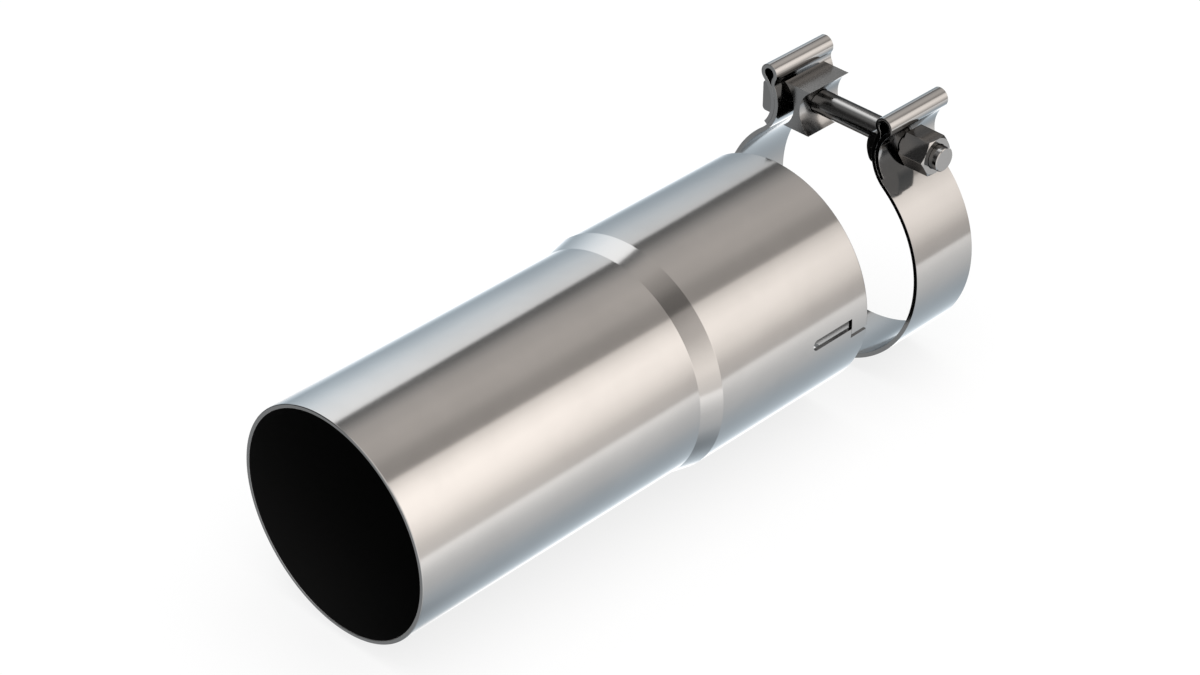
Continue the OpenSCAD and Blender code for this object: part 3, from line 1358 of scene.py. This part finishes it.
FAR_PANEL = Panel("far_panel", near=-0.4, far=9.0, stops=(
    Stop(276, 0.61, -2.0, 1.30, back=1.0), Stop(286, 0.84, -1.8, 1.35),
    Stop(292, 1.20, -0.7, 1.35), Stop(299, 1.45, 0.0, 1.3), Stop(320, 1.47, 0.0, 1.3),
    Stop(330, 1.30, -0.5, 1.3), Stop(336, 1.04, -1.2, 1.3), Stop(342, 0.67, -2.2, 1.2, 0.5, 0.3),
    Stop(350, 0.46, -2.4, 1.2, 0.5, 0.3, 0, 0.9), Stop(358, 0.48, -2.2, 1.1, 0.5, 0.4, 0, 0.9),
    Stop(367, 0.56, -2.0, 0.8, 0.5, 0.5, 0, 0.9), Stop(383, 0.75, -1.2, 0.6, 0.5, 0.55, 0, 0.8),
    Stop(396, 0.82, -0.6, 0.7, 0.8, 0.6), Stop(409.3, 0.85, 0.0, 0.9, 1.2, 0.65, -16.0),
    Stop(409.5, 0.09, 0.0, 0.2, 0.5, 0.0, -16.0), Stop(416, 0.15, 0.3, 0.2, 0.5, 0.0, -12.8, 0.8),
    Stop(424, 0.31, 0.6, 0.3, 0.5, 0.0, -9.0, 1.2),
    Stop(432, 0.43, 1.0, 0.4, 0.5, 0.0, -5.0, 1.4), Stop(450, 0.49, 1.2, 0.85, 0.7, back=1.5),
    Stop(464, 0.45, 1.2, 1.0, 0.8, back=1.7), Stop(473, 0.35, 1.2, 1.1, 0.8, back=2.2),
    Stop(487, 0.30, 1.2, 1.15, 0.8, back=2.6), Stop(487.5, 0.76, 1.2, 1.15, 0.8, 0.3, 0, 1.0),
    Stop(499, 1.08, 1.2, 1.15, 0.8, 0.3, 0, 0.75), Stop(510, 1.21, 1.2, 1.15, 0.8, 0.3, 0, 0.7),
    Stop(522, 1.14, 1.2, 1.05, 0.8, 0.3, 0, 0.75), Stop(534, 0.95, 1.2, 0.9, 0.8, 0.3, 0, 0.9),
    Stop(547, 0.66, 1.1, 0.6, 0.8, 0.4, 0, 1.2), Stop(560, 0.56, 0.8, 0.4, 0.5, 0.4, 0, 1.3),
    Stop(560.5, 1.0, 0.4, 0.4, 0.5, 0.2, 0, 0.9), Stop(564, 0.95, 0.3, 0.4, 0.5, 0.2, 0, 0.9),
    Stop(571, 0.77, 0.2, 0.4, 0.5, 0.1, 0, 1.0), Stop(579, 0.65, 0.0, 0.5, back=1.1),
    Stop(590, 0.56, -0.3, 0.8, back=1.2), Stop(602, 0.485, -1.2, 1.1, back=1.3),
    Stop(612, 0.465, -1.8, 1.25, back=1.4), Stop(620, 0.48, -2.0, 1.3, back=1.3),
    Stop(628, 0.53, -2.0, 1.3, back=1.2), Stop(636, 0.61, -2.0, 1.3, back=1.0),
))
NEAR_PANEL = Panel("near_panel", near=-14.0, far=-0.4, gap_start=-3.8, gap_end=-3.2, stops=(
    Stop(270, 0.24, -0.6, EVERYWHERE), Stop(322, 0.24, -0.6, EVERYWHERE),
    Stop(340, 0.03, 0.0, EVERYWHERE, back=12.0), Stop(405, 0.02, 0.0, EVERYWHERE, back=22.0),
    Stop(415, 0.14, 0.0, EVERYWHERE, back=3.3), Stop(423, 0.35, 0.3, EVERYWHERE, back=1.4),
    Stop(445, 0.65, 0.6, EVERYWHERE), Stop(500, 0.80, 0.6, EVERYWHERE),
    Stop(560, 0.85, 0.3, EVERYWHERE), Stop(600, 0.60, -0.5, EVERYWHERE),
    Stop(615, 0.40, -0.5, EVERYWHERE), Stop(630, 0.24, -0.6, EVERYWHERE),
))


@dataclass
class Studio:
    """The camera, the pale floor, the lamp and the panels that the steel mirrors."""

    low: Vector
    lens: float = 89.188
    sensor: float = 36.0
    camera_place: Place = (-0.48492, -0.60758, 0.61588)
    azimuth: float = 44.85
    elevation: float = 34.95
    nearest: float = 0.01
    farthest: float = 100.0
    floor_half: float = 12.0
    floor_drop: float = 0.2 * MM
    floor_tone: float = 0.93
    floor_glow: float = 0.78
    world_light: float = 0.75
    lamp_size: float = 2.0
    lamp_power: float = 24.0
    lamp_place: Place = (0.1, -0.4, 1.9)
    lamp_aim: Place = (0.13, 0.0, 0.0)
    panels: tuple[Panel, ...] = (FAR_PANEL, NEAR_PANEL)

    def build(self) -> None:
        """Sets up the camera, the floor, the world, the lamp and the panels."""
        self._camera()
        self._floor()
        self._world()
        self._lamp()
        for panel in self.panels:
            self._panel(panel)
        bpy.context.scene.view_settings.view_transform = "Standard"

    def _camera(self) -> None:
        """Places the camera at the photograph's viewing angle."""
        data = bpy.data.cameras.new("camera")
        data.lens, data.sensor_width = self.lens, self.sensor
        data.clip_start, data.clip_end = self.nearest, self.farthest
        camera = link(bpy.data.objects.new("camera", data))
        across, up = math.radians(self.azimuth), math.radians(self.elevation)
        look = Vector((math.cos(up) * math.cos(across), math.cos(up) * math.sin(across),
                       -math.sin(up)))
        camera.rotation_euler = look.to_track_quat("-Z", "Y").to_euler()
        camera.location = self.camera_place
        bpy.context.scene.camera = camera

    def _floor(self) -> None:
        """Lays a plain pale floor that keeps the object's shadow."""
        half, height = self.floor_half, self.low.z - self.floor_drop
        mesh = bpy.data.meshes.new("floor")
        mesh.from_pydata([(-half, -half, height), (half, -half, height), (half, half, height),
                          (-half, half, height)], [], [(0, 1, 2, 3)])
        surface = Material("pale_floor")
        seen = self._seen(surface)
        matt = surface.node("ShaderNodeBsdfDiffuse", None,
                            {"Color": (self.floor_tone, self.floor_tone, self.floor_tone, 1.0)})
        mixed = surface.node("ShaderNodeMixShader", None,
                             {0: seen * self.floor_glow, 1: matt, 2: surface.glow(WHITE)})
        mesh.materials.append(surface.finish(mixed))
        floor = link(bpy.data.objects.new("floor", mesh))
        floor.visible_glossy = False
        floor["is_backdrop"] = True

    @staticmethod
    def _seen(graph: Graph) -> Wire:
        """Returns one for what the eye or a reflection sees and nought for other light."""
        ray = graph.node("ShaderNodeLightPath", None, None, "Is Camera Ray")
        return ray.call("MAXIMUM", graph.output(ray, "Is Glossy Ray"))

    def _world(self) -> None:
        """Makes the world white to the eye and in reflections, and a plain level of light."""
        world = bpy.data.worlds.new("world")
        bpy.context.scene.world = world
        world.use_nodes = True
        sky = Graph(world.node_tree)
        light, white = (sky.node("ShaderNodeBackground", None, {"Color": WHITE, "Strength": level})
                        for level in (self.world_light, 1.0))
        mixed = sky.node("ShaderNodeMixShader", None, {0: self._seen(sky), 1: light, 2: white})
        sky.node("ShaderNodeOutputWorld", None, {"Surface": mixed})

    def _lamp(self) -> None:
        """Hangs one large soft lamp above, which gives the floor its soft shadow."""
        data = bpy.data.lights.new("soft_top", "AREA")
        data.shape = "RECTANGLE"
        data.size, data.size_y = self.lamp_size, self.lamp_size
        data.energy = self.lamp_power
        lamp = link(bpy.data.objects.new("soft_top", data))
        lamp.location = self.lamp_place
        aim = Vector(self.lamp_aim) - Vector(self.lamp_place)
        lamp.rotation_euler = aim.to_track_quat("-Z", "Y").to_euler()
        lamp.visible_glossy = False
        lamp.visible_camera = False

    def _panel(self, panel: Panel) -> None:
        """Bends one panel round the pipe's axis.

        Args:
            panel: The panel's lines of light and its place on X.
        """
        places, colours, faces = [], [], []
        last = panel.stations - 1
        for i, stop in enumerate(panel.dense()):
            for k in range(panel.stations):
                place, colour = panel.line(stop, panel.near + (panel.far - panel.near) * k / last)
                places.append(place)
                colours += colour
                if i and k:
                    here = i * panel.stations + k
                    faces.append((here - last - 2, here - last - 1, here, here - 1))
        mesh = bpy.data.meshes.new(panel.name)
        mesh.from_pydata(places, [], faces)
        mesh.attributes.new("light", "FLOAT_COLOR", "POINT").data.foreach_set("color", colours)
        surface = Material(panel.name)
        light = surface.node("ShaderNodeAttribute", {"attribute_name": "light"}, None, "Color")
        mesh.materials.append(surface.finish(surface.glow(light)))
        made = link(bpy.data.objects.new(panel.name, mesh))
        made.visible_camera = False
        made.visible_diffuse = False
        made.visible_shadow = False
        made.visible_transmission = False
        made.visible_volume_scatter = False
        made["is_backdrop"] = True


def main() -> None:
    """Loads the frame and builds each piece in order."""
    logging.basicConfig(level=logging.INFO, format="%(message)s")
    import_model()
    cad_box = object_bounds()
    sizes = ClampSizes()
    bolt = BarHeadBolt(sizes)
    Studio(Vector(cad_box[0])).build()
    for maker in (ConnectionPipe(), ClampBand(sizes), bolt, SpacerBlock(sizes), SaddleBar(sizes),
                  HexNut(bolt)):
        piece = maker.build()
        LOG.info("%s: %d faces", piece.name, len(piece.data.polygons))


if __name__ == "__main__":
    main()
